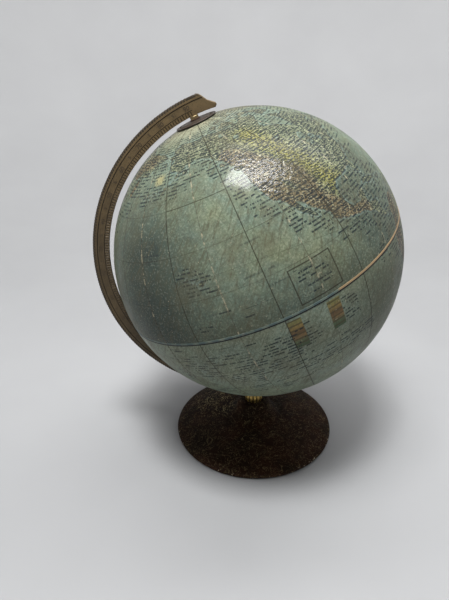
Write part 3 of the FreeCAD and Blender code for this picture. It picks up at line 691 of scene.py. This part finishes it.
def enamel():
    """Near-black brown crackle enamel with ochre scuffs and a chipped rim."""
    g = Graph("base_enamel")
    spot = g.place()
    x, y, z = spot.split()
    base = g.mix(g.noise(spot, 26, 3).above(0.5, 0.12), (0.013, 0.0070, 0.0038), (0.027, 0.0110, 0.0055))
    crackle = g.crack_distance(spot, 2.6)
    base = g.mix(crackle.below(0.06, 0.05) * 0.5, base, (0.004, 0.003, 0.003))
    flecks = g.noise(spot, 3.2, 3, 0.65).above(0.68, 0.03)
    base = g.mix(flecks * 0.55, base, (0.16, 0.11, 0.05))
    curls = (g.noise(spot, 8, 2, 0.5, 1.6) - 0.5).abs().below(0.012, 0.01)
    near = (x + 42).abs() ** 2.0 + (y - 32).abs() ** 2.0
    patch = near.below(1100, 520) * g.noise(spot, 9, 2).above(0.44, 0.06)
    base = g.mix(curls * patch * 0.95 + curls * 0.30, base, (0.30, 0.24, 0.12))
    chips = z.below(4.2, 0.6) * g.noise(spot, 2.6, 3, 0.6).above(0.66, 0.02)
    base = g.mix(chips, base, (0.50, 0.42, 0.31))
    bump = crackle.below(0.1, 0.08) * -0.5 + g.noise(spot, 1.6, 3, 0.6) * 0.6 - chips * 0.6
    g.surface.inputs["Specular IOR Level"].default_value = 0.04
    return g.finish(base, g.span(g.noise(spot, 8, 3), 0.3, 0.7, 0.5, 0.68), bump=bump, bump_mm=0.25)


def metal(name, bright, dark, rough, metallic, grain):
    """Aged metal: dark with patina in its hollows and with painted shade where a part takes less light (both from
    a mesh attribute), and in cloudy patches.
    """
    g = Graph(name)
    spot = g.place()
    patches = g.noise(spot, grain * 4, 4, 0.6).above(0.5, 0.14)
    colour = g.mix(patches * 0.55, bright, tuple((b + d) / 2 for b, d in zip(bright, dark)))
    specks = g.noise(spot, grain * 0.35, 3, 0.6).above(0.62, 0.05)
    colour = g.mix(specks * 0.45, colour, dark)
    # The mesh's darkening attribute: patina in hollows, plus painted shade on the arm away from its top.
    colour = g.mix(g.attribute("patina_and_shade") * 0.9, colour, dark)
    bump = g.noise(spot, grain * 0.3, 3, 0.55)
    return g.finish(colour, g.span(patches, 0, 1, rough, rough + 0.14), metallic, bump, 0.05)


def board(name, light, dark, size, along, rough):
    """Paper, card, wood, felt and fibre: mottled grain stretched one way."""
    g = Graph(name)
    x, y, z = g.place().split()
    grain = g.noise(g.join(x * along, y * along, z), size, 5, 0.65)
    colour = g.mix(grain.above(0.5, 0.16), light, dark)
    return g.finish(colour, rough, bump=grain, bump_mm=0.15)


def tape():
    """The printed seam tape: blue-grey scale, tan where it has worn, and its lower part painted near-black as the
    shadow under its edge.
    """
    g = Graph("seam_tape")
    lon, lat, _ = g.attribute("place", True).split()
    spot = g.place()
    mm_up = lat * DEGREE
    printed = g.mix((lon / 5).part().above(0.5, 0.02), (0.070, 0.100, 0.098), (0.105, 0.135, 0.112))
    tan = lon.between(-115.5, -60, 0.6) * mm_up.above(-0.2, 0.1)
    colour = g.mix(tan, printed, (0.30, 0.205, 0.110))
    colour = g.mix(g.noise(spot, 6, 4, 0.65).above(0.6, 0.06) * 0.3, colour, (0.26, 0.25, 0.18))
    # Painted shadow: the tape is near-black more than 0.3 mm below its middle line.
    colour = g.mix(mm_up.below(-0.3, 0.1), colour, (0.012, 0.012, 0.013))
    g.surface.inputs["Specular IOR Level"].default_value = 0.12
    return g.finish(colour, 0.55, bump=g.noise(spot, 1.5, 3), bump_mm=0.12, coat=0.12, coat_rough=0.25)


def pale_cloth():
    g = Graph("pale_floor")
    spot = g.place()
    colour = g.mix(g.noise(spot, 240, 3).above(0.5, 0.3), (0.295, 0.296, 0.30), (0.325, 0.326, 0.33))
    return g.finish(colour, 0.6)


# Name, bright and dark colour, roughness, how metallic, grain in mm.
METALS = [
    ("arm_bronze", (0.165, 0.112, 0.050), (0.014, 0.010, 0.006), 0.46, 0.25, 3.0),
    ("numerals", (0.070, 0.048, 0.026), (0.022, 0.015, 0.009), 0.5, 0.2, 2.0),
    ("dial_bronze", (0.048, 0.034, 0.024), (0.010, 0.007, 0.005), 0.45, 0.4, 2.5),
    ("gilt_brass", (0.46, 0.32, 0.10), (0.03, 0.021, 0.009), 0.32, 0.9, 2.0),
    ("nut_brass", (0.34, 0.26, 0.14), (0.05, 0.038, 0.02), 0.38, 0.9, 1.6),
    ("eyelet_brass", (0.52, 0.40, 0.20), (0.09, 0.06, 0.03), 0.32, 1.0, 1.6),
    ("steel", (0.42, 0.42, 0.43), (0.10, 0.10, 0.11), 0.35, 1.0, 1.5)]
# Name, light and dark colour, grain in mm, stretch of the grain, roughness.
BOARDS = [
    ("fibre", (0.10, 0.050, 0.034), (0.055, 0.028, 0.020), 1.2, 1.0, 0.8),
    ("chipboard", (0.42, 0.35, 0.25), (0.28, 0.22, 0.15), 3.0, 0.5, 0.8),
    ("plug_wood", (0.52, 0.36, 0.21), (0.34, 0.21, 0.11), 2.0, 0.3, 0.8),
    ("base_card", (0.34, 0.26, 0.17), (0.24, 0.18, 0.115), 2.0, 0.6, 0.8),
    ("felt", (0.055, 0.095, 0.06), (0.03, 0.055, 0.035), 0.7, 1.0, 0.95)]

MATERIALS = {"map_paper": map_paper(), "seam_tape": tape(), "base_enamel": enamel(),
             "pale_floor": pale_cloth()}
MATERIALS.update((look[0], metal(*look)) for look in METALS)
MATERIALS.update((look[0], board(*look)) for look in BOARDS)


# ---- the ball

def printed_gore(number):
    """One paper gore with its printed map, thicker where it laps the next one."""
    west = -GORE_WIDTH + GORE_WIDTH * number
    edge_lat = 90 - math.degrees(math.asin(POLE_HOLE / BALL))
    step = 0.75
    lon = np.linspace(west, west + GORE_WIDTH, int(GORE_WIDTH / step) + 1)
    lat = np.linspace(edge_lat, -edge_lat, int(2 * edge_lat / step) + 1)
    lons, lats = (grid.ravel() for grid in np.meshgrid(lon, lat))
    centred = lons - west - GORE_WIDTH / 2
    shrink = np.cos(np.radians(lats))
    across, along = centred * shrink * DEGREE, lats * DEGREE
    unit = on_ball(np.stack([lons, lats], -1))
    lap = np.exp(-(((GORE_WIDTH / 2 * shrink * DEGREE) - across) / 1.3) ** 2) * 0.09
    outer = unit * (BALL + ripple(unit * BALL, 46, 0.10, 5) + lap)[:, None]
    inner = unit * (BALL - PAPER)
    rows, columns = len(lat), len(lon)
    outer, inner = outer.reshape(rows, columns, 3), inner.reshape(rows, columns, 3)
    ring = np.concatenate([outer, inner[:, ::-1]], 1)
    mark = "gore_%02d" % (number + 1)
    piece = add_mesh("printed_" + mark, in_globe(ring.reshape(-1, 3)), capped_faces(rows, 2 * columns),
                     "map_paper", "ball", ["map_" + mark], crease=50)

    def both(values):
        grid = np.asarray(values).reshape(rows, columns, -1)
        return np.concatenate([grid, grid[:, ::-1]], 1).reshape(rows * 2 * columns, -1)

    shown = lons - 360 * (west >= 180)
    coast, peaks, share, plains = ground_fields(lons, lats)
    face_attribute(piece, "place", both(np.stack([shown, lats, shrink], -1)))
    face_attribute(piece, "sheet", both(np.stack([across, along, 0 * along + number], -1)))
    face_attribute(piece, "ground", both(np.stack([coast, peaks, share], -1)))
    face_attribute(piece, "plains", both(plains).ravel())
    face_attribute(piece, "globe", both(unit))
    lay_out(piece, columns, centred, lats, edge_lat)


def lay_out(piece, columns, centred, lats, edge_lat):
    """Texture places for the bake: a gore's northern half on the left, its southern on the right."""
    u = (centred / GORE_WIDTH + 0.5) * 0.46
    v = np.abs(lats) / edge_lat * 0.96 + 0.02
    layer = piece.data.uv_layers.new(name="OFBake")
    loops = np.zeros(len(piece.data.loops), int)
    piece.data.loops.foreach_get("vertex_index", loops)
    column = loops % (2 * columns)
    under = column >= columns
    grid = (loops // (2 * columns)) * columns + np.where(under, 2 * columns - 1 - column, column)
    owner = np.repeat(np.arange(len(piece.data.polygons)), [p.loop_total for p in piece.data.polygons])
    count = np.bincount(owner)
    southern = (np.bincount(owner, weights=lats[grid]) / count < 0)[owner]
    hidden = (np.bincount(owner, weights=under) > 0)[owner]
    places = np.stack([u[grid] + 0.02 + 0.5 * southern, v[grid]], -1)
    places[hidden] = np.array([0.492, 0.008]) + (places[hidden] - 0.5) * 0.004
    layer.data.foreach_set("uv", places.astype(np.float32).ravel())


def raised_tape():
    """The equator tape: a low crowned band with a printed scale."""
    turns = np.linspace(0, 2 * math.pi, 481)[:-1]
    rise = [(-1.6, 0.0), (-1.5, 0.16), (-0.7, 0.22), (0.1, 0.2), (0.8, 0.22), (1.5, 0.17), (1.6, 0.0)]
    section = rise + [(up, -0.25) for up, _ in reversed(rise)]
    points, places = [], []
    around = turns + math.radians(MAP_TURN)
    lons = (np.degrees(turns) + 180) % 360 - 180
    level = np.ones(len(turns))
    for up, out in section:
        radius = BALL + out
        points.append(np.stack([radius * np.cos(around), radius * np.sin(around), up * level], -1))
        places.append(np.stack([lons, up / DEGREE * level, level], -1))
    faces = grid_faces(len(section), len(turns), wrap_rows=True, wrap_columns=True)
    piece = add_mesh("equator_band", in_globe(np.array(points).reshape(-1, 3)), faces[:, ::-1],
                     "seam_tape", "ball", ["equator_tape"], crease=50)
    face_attribute(piece, "place", np.array(places).reshape(-1, 3))


# ---- the arm

# How far past the pole the arm's tip reaches at each radius.
TIP_WAY = [(157.0, 8.2), (158.3, 8.75), (159.6, 8.9), (161.0, 8.75), (162.2, 8.1), (163.7, 7.1),
           (165.2, 6.3), (168.2, 5.5), (171.0, 4.8), (172.8, 4.3), (173.8, 3.9), (174.2, 3.4)]
# Half a section of the arm: radius, half thickness, and what is cut or worn there.
ARM_SECTION = [
    (157.0, 1.35, ""), (157.3, 1.8, ""), (157.5, 1.8, "tick"), (159.4, 1.8, "tick"), (161.3, 1.8, "tick"),
    (161.5, 1.8, ""), (161.7, 1.8, ""), (161.8, 1.45, "line"), (162.4, 1.45, "line"), (162.5, 1.8, ""),
    (165.7, 1.8, ""), (168.95, 1.8, ""), (169.05, 1.35, "rule"), (169.6, 1.35, "rule"), (169.75, 2.2, ""),
    (171.5, 2.2, ""), (171.8, 2.2, "rib"), (173.2, 2.2, "rib"), (174.2, 1.7, "rib")]


NO_TICK = -9


def arm_point(radius, degrees, side):
    """Arm coordinates in the globe frame: degrees from the north pole round the back of the ball."""
    angle = np.radians(degrees)
    return np.stack([-radius * np.sin(angle), side, radius * np.cos(angle) + ARM_SHIFT], -1)


def arm_cut(kind, degrees, eighth):
    """How deep the arm is cut at a radius of this kind: 1 degree marks, ruled lines, milled rim."""
    if kind == "tick":
        return 0.42 * np.isin(eighth, (3, 4)) * ((degrees > 0) & (degrees < 180.6))
    if kind == "line":
        return np.where(degrees >= -0.2, 0.0, -0.35)
    if kind == "rule":
        return np.where(degrees >= -5.0, 0.0, -0.45)
    if kind == "rib":
        return 0.30 * (0.5 + 0.5 * np.cos(2 * math.pi * eighth / 8)) * (degrees > -3)
    return 0.0 * degrees


def graduated_arm():
    """The cast arm: a ladder of degrees, ruled lines, a milled rim and a scrolled tip; painted shade darkens it
    away from the top.
    """
    per_degree = 8
    behind = np.arange(ARM_END * per_degree, -1, -1)
    tip_steps = 44
    radii = np.array([level[0] for level in ARM_SECTION])
    reach = np.interp(radii, [r for r, _ in TIP_WAY], [a for _, a in TIP_WAY])
    share = np.linspace(0, 1, tip_steps + 1)[1:]
    shaft = np.repeat(behind[:, None] / per_degree, len(radii), 1)
    degrees = np.concatenate([shaft, -share[:, None] * reach])
    eighth = np.concatenate([behind % per_degree, np.full(tip_steps, NO_TICK)])[:, None]
    eighth = np.repeat(eighth, len(radii), 1)
    half, patina_and_shade = np.zeros_like(degrees), np.zeros_like(degrees)
    out = np.repeat(radii[None, :], len(degrees), 0)
    for j, (_, thick, kind) in enumerate(ARM_SECTION):
        cut = arm_cut(kind, degrees[:, j], eighth[:, j])
        half[:, j] = thick - cut
        if kind == "rib":
            out[:, j] -= cut
        flat = (kind in ("line", "rule")) * (1.0 - np.clip(-cut * 3, 0, 1))
        patina_and_shade[:, j] = np.clip((cut > 0.1) * 0.95 + flat, 0, 1) if kind else 0
    # Painted shade: the arm darkens from 20 to 60 degrees round from the north pole and stays half dark beyond,
    # where less light falls.
    patina_and_shade = np.maximum(patina_and_shade, 0.5 * np.clip((degrees - 20) / 40, 0, 1))
    # The three outer rows, on the milled rim, are darkened more toward the edge.
    patina_and_shade[:, -3:] = np.maximum(patina_and_shade[:, -3:], (0.45, 0.7, 0.9))
    rounding = np.ones(len(degrees))
    rounding[-3:] = (0.94, 0.82, 0.6)
    rounding[:3] = (0.6, 0.82, 0.94)
    half *= rounding[:, None]
    front, back = arm_point(out, degrees, -half), arm_point(out, degrees, half)[:, ::-1]
    ring = np.concatenate([front, back], 1)
    piece = add_mesh("meridian_arm_cast", in_globe(ring.reshape(-1, 3)), capped_faces(*ring.shape[:2]),
                     "arm_bronze", "stand", ["meridian_arm"], crease=32)
    face_attribute(piece, "patina_and_shade", np.concatenate([patina_and_shade, patina_and_shade[:, ::-1]], 1).ravel())


def text_mesh(text, height, thick):
    """A raised figure: points (mm) centred on the middle, and faces."""
    curve = bpy.data.curves.new("figure", "FONT")
    curve.body = text
    curve.align_x, curve.align_y = "CENTER", "CENTER"
    curve.extrude = thick / 2
    curve.resolution_u = 3
    curve.offset = 0.012
    holder = new_object("figure", curve)
    mesh = bpy.data.meshes.new_from_object(holder)
    points = np.array([v.co for v in mesh.vertices]).reshape(-1, 3)
    faces = [list(polygon.vertices) for polygon in mesh.polygons]
    bpy.data.objects.remove(holder)
    bpy.data.curves.remove(curve)
    bpy.data.meshes.remove(mesh)
    low, high = points.min(0), points.max(0)
    points[:, :2] = (points[:, :2] - (low + high)[:2] / 2) * height / (high - low)[1]
    return points, faces


def raised_figures(name, marks, height, body):
    """One mesh of many figures; each mark is (text, origin, right, up, scale)."""
    known, points, faces = {}, [], []
    for text, origin, right, up, scale in marks:
        if text not in known:
            known[text] = text_mesh(text, height, 0.22)
        figure, figure_faces = known[text]
        normal = np.cross(right, up)
        start = sum(len(block) for block in points)
        flat = figure[:, :1] * right * scale + figure[:, 1:2] * up * scale
        points.append(origin + flat + figure[:, 2:] * normal)
        faces += [[start + corner for corner in face] for face in figure_faces]
    add_mesh(name, in_globe(np.concatenate(points)), faces, "numerals", body)


def arm_figures():
    """Degrees of latitude on both faces, tens in full and fives as one small figure."""
    marks = []
    for degree in range(0, 181, 5):
        tens = degree % 10 == 0
        text = str(abs(90 - degree)) if tens else "5"
        angle = math.radians(degree + 1.3)
        for way in (-1, 1):
            origin = arm_point(FIGURE_RADIUS, degree + 1.3, way * (ARM_FACE + 0.03))
            up = np.array([-math.sin(angle), 0, math.cos(angle)])
            right = np.array([-math.cos(angle), 0, -math.sin(angle)]) * way
            marks.append((text, origin, right, up, 1.0 if tens else 0.72))
    raised_figures("arm_numbers", marks, 4.5, "stand")


def arm_boss():
    """The round boss that stands on the collar and holds the stem bolt."""
    foot, top, radius = 55.5, 77.0, 7.0
    profile = [(0, foot), (radius - 0.8, foot)] + arc((radius - 0.8, foot + 0.8), 0.8, -90, 0, 5)
    profile += arc((radius - 1.2, top - 1.2), 1.2, 0, 90, 7) + [(0, top)]
    lathe("arm_boss", profile, "arm_bronze", "stand", (), 72)


# ---- pole fittings

def hour_plate():
    """The hour dial: a dished plate with a beaded edge and twenty-four marks."""
    z = BALL + FLANGE + TURN_GAP
    drop, thick, rim, hub = 1.2, 0.6, 20.8, 5.2
    edge, face = z - drop, z + thick
    profile = [(1.25, z), (hub, z), (rim - 0.2, edge), (rim, edge + 0.15), (rim, edge + 0.52),
               (rim - 0.3, edge + 0.78), (rim - 1.1, edge + 0.8), (rim - 1.4, edge + thick),
               (13.6, face - 0.66), (13.3, face - 0.46), (12.9, face - 0.46), (12.6, face - 0.58),
               (hub, face), (1.25, face)]
    lathe("hour_dial_plate", profile, "dial_bronze", "dial", ["hour_dial"], 192, tilted=True)
    marks = []
    for hour in range(24):
        angle = math.radians(hour * 15)
        up = np.array([math.cos(angle), math.sin(angle), 0])
        right = np.array([math.sin(angle), -math.cos(angle), 0])
        origin = up * 16.3 + np.array([0, 0, face - 0.86])
        marks.append((str(hour % 12 or 12), origin, right, up, 1.0))
    raised_figures("hour_dial_numbers", marks, 2.1, "dial")


def pole_nut():
    bottom, top, radius = BALL + FLANGE + TURN_GAP + DIAL_THICK + TURN_GAP + WASHER, ARM_INNER + 0.7, 4.2
    profile = [(1.2, bottom), (radius - 0.3, bottom), (radius, bottom + 0.3), (radius, top - 0.35),
               (radius - 0.35, top), (1.2, top)]

    def knurl(r, z, angle):
        edge = (r > radius - 0.1) * (0.5 + 0.5 * np.cos(angle * 40))
        return r - 0.08 * edge, z + 0 * angle
    lathe("pole_nut_turned", profile, "nut_brass", "stand", ["north_nut"], 240, tilted=True, shape=knurl)


# ---- the base and collar

def dome_profile():
    """Outside of the base from the bolt hole to the rim, then back underneath."""
    hub, shoulder, top = 20.5, 5.5, HUB_TOP
    outside = [(3.3, top), (hub - shoulder, top)]
    outside += arc((hub - shoulder, top - shoulder), shoulder, 84, 4, 9)
    outside += [(hub, top - shoulder - 1.5), (hub + 0.45, top - 9.6), (hub + 1, 27.9)]
    outside += bowed((hub + 1, 27.9), (36, 18.5), 15, -1, 12)
    outside += bowed((36, 18.5), (95.1, 4.6), 160, 1, 26)
    outside += [(96.3, 3.95), (97.2, 3.1), (97.5, 2.2), (97.1, 1.35), (96.3, 1.0)]
    return outside + [(95.1, 1.0), (94.6, 3.4)] + bowed((94.6, 3.4), (35.6, 17.3), 158.8, -1, 10) + [
        (20.3, 27.2), (19.3, 34.5), (15, 38.8), (3.3, 38.8)]


def bowed(start, end, radius, way, steps):
    """Points after start along an arc whose centre is right (1) or left (-1) of the way there."""
    start, end = np.array(start, float), np.array(end, float)
    middle, chord = (start + end) / 2, end - start
    normal = np.array([-chord[1], chord[0]]) / np.linalg.norm(chord)
    depth = math.sqrt(radius ** 2 - (np.linalg.norm(chord) / 2) ** 2)
    centre = middle - normal * depth * way
    first, last = start - centre, end - centre
    a, b = math.atan2(first[1], first[0]), math.atan2(last[1], last[0])
    b = a + (b - a + math.pi) % (2 * math.pi) - math.pi
    return arc(centre, radius, math.degrees(a), math.degrees(b), steps)[1:]


def enamelled_base():
    def hammered(r, z, angle):
        spots = np.stack([r * np.cos(angle), r * np.sin(angle), z + 0 * angle], -1).reshape(-1, 3)
        return r + 0 * angle, z + ripple(spots, 11, 0.10, 9).reshape(r.shape)
    lathe("base_dome", dome_profile(), "base_enamel", "stand", ["base_shell"], 320, shape=hammered)


def fluted_collar():
    foot, base, flutes = 10.8, HUB_TOP, 14
    profile = [(3.3, base), (foot, base), (foot, base + 1.6)]
    profile += bowed((foot, base + 1.6), (6.8, base + 12.1), 8.5, -1, 14)
    bead = ((7.7, 12.7), (8.0, 13.3), (8.0, 15.0), (7.6, 15.5), (3.3, 15.5))
    profile += [(radius, base + up) for radius, up in bead]

    def dips(r, z, angle):
        body = (r > 4) * np.clip((base + 12 - z) / 2, 0, 1) * (z < base + 12.2)
        return body * np.maximum(0, np.cos(angle * flutes)) ** 1.6

    def fluted(r, z, angle):
        return r - 1.05 * dips(r, z, angle), z + 0 * angle
    lathe("stem_collar_gilt", profile, "gilt_brass", "stand", ["stem_collar"], flutes * 20, shape=fluted,
          patina_and_shade=lambda r, z, angle: np.maximum(0, np.cos(angle * flutes)) ** 2 * (z < base + 12))


# ---- stage

def backdrop():
    """A round pale floor that curves up into a wall on every side."""
    flat, turn, height, sides = 700.0, 900.0, 3200.0, 96
    profile = [(0.01, 0.0), (flat, 0.0)]
    rises = np.linspace(0.1, math.pi / 2, 16)
    profile += [(flat + turn * math.sin(t), turn - turn * math.cos(t)) for t in rises]
    profile += [(flat + turn, height)]
    around = np.linspace(0, 2 * math.pi, sides + 1)[:-1]
    points = [(r * math.cos(angle), r * math.sin(angle), z) for r, z in profile for angle in around]
    faces = grid_faces(len(profile), sides, wrap_columns=True)
    floor = add_mesh("studio_floor", points, faces[:, ::-1], "pale_floor", None, crease=60)


def area_light(name, place, aim, size, power, colour=(1, 1, 1), diffuse=True, gloss=True):
    lamp = bpy.data.lights.new(name, "AREA")
    lamp.shape = "RECTANGLE"
    lamp.size, lamp.size_y = size
    lamp.energy = power
    lamp.color = colour
    holder = new_object(name, lamp)
    holder.location = place
    holder.rotation_euler = (Vector(aim) - Vector(place)).to_track_quat("-Z", "Y").to_euler()
    holder.visible_diffuse = diffuse
    holder.visible_glossy = gloss


def studio():
    world = bpy.data.worlds.new("studio")
    world.use_nodes = True
    world.node_tree.nodes["Background"].inputs[0].default_value = (0.93, 0.96, 1.0, 1)
    world.node_tree.nodes["Background"].inputs[1].default_value = 0.03
    bpy.context.scene.world = world
    bpy.context.scene.view_settings.view_transform = "Standard"
    area_light("ceiling", (-0.15, -0.49, 2.05), CENTRE, (0.44, 0.38), 37, (0.98, 0.99, 1.0), gloss=False)
    area_light("window", (-0.30, -0.33, 1.65), CENTRE, (0.42, 0.34), 14)
    area_light("window_gleam", (-0.30, -0.33, 1.60), CENTRE, (0.42, 0.34), 9, diffuse=False)
    area_light("window_right", (0.10, -0.29, 1.65), CENTRE, (0.42, 0.26), 15, diffuse=False)
    area_light("wall_wash", (0.6, 0.5, 2.2), (0.6, 1.4, 0.4), (2.4, 0.6), 44)


def camera():
    eye, aim, roll = Vector((-0.0805, -0.5017, 0.4234)), Vector((-0.0371, -0.0182, 0.1882)), -0.73
    lens = bpy.data.cameras.new("camera")
    lens.lens = 29.52
    lens.sensor_width = 36
    lens.clip_start = 0.01
    holder = new_object("camera", lens)
    look = (aim - eye).to_track_quat("-Z", "Y").to_matrix()
    turned = look @ Matrix.Rotation(math.radians(roll), 3, "Z")
    holder.matrix_world = Matrix.Translation(eye) @ turned.to_4x4()
    bpy.context.scene.camera = holder


# ---- make it

def dress_cad_nodes():
    """The nodes that stay as CAD parts get the material of their slot."""
    for part in frame["record"]["subparts"]:
        node = frame["nodes"][part["node"]]
        if not node.hide_render:
            node.data.materials.clear()
            node.data.materials.append(MATERIALS[part["material_slot"]])


camera()
studio()
backdrop()
for gore in range(GORES):
    printed_gore(gore)
raised_tape()
graduated_arm()
arm_figures()
arm_boss()
hour_plate()
pole_nut()
enamelled_base()
fluted_collar()
dress_cad_nodes()
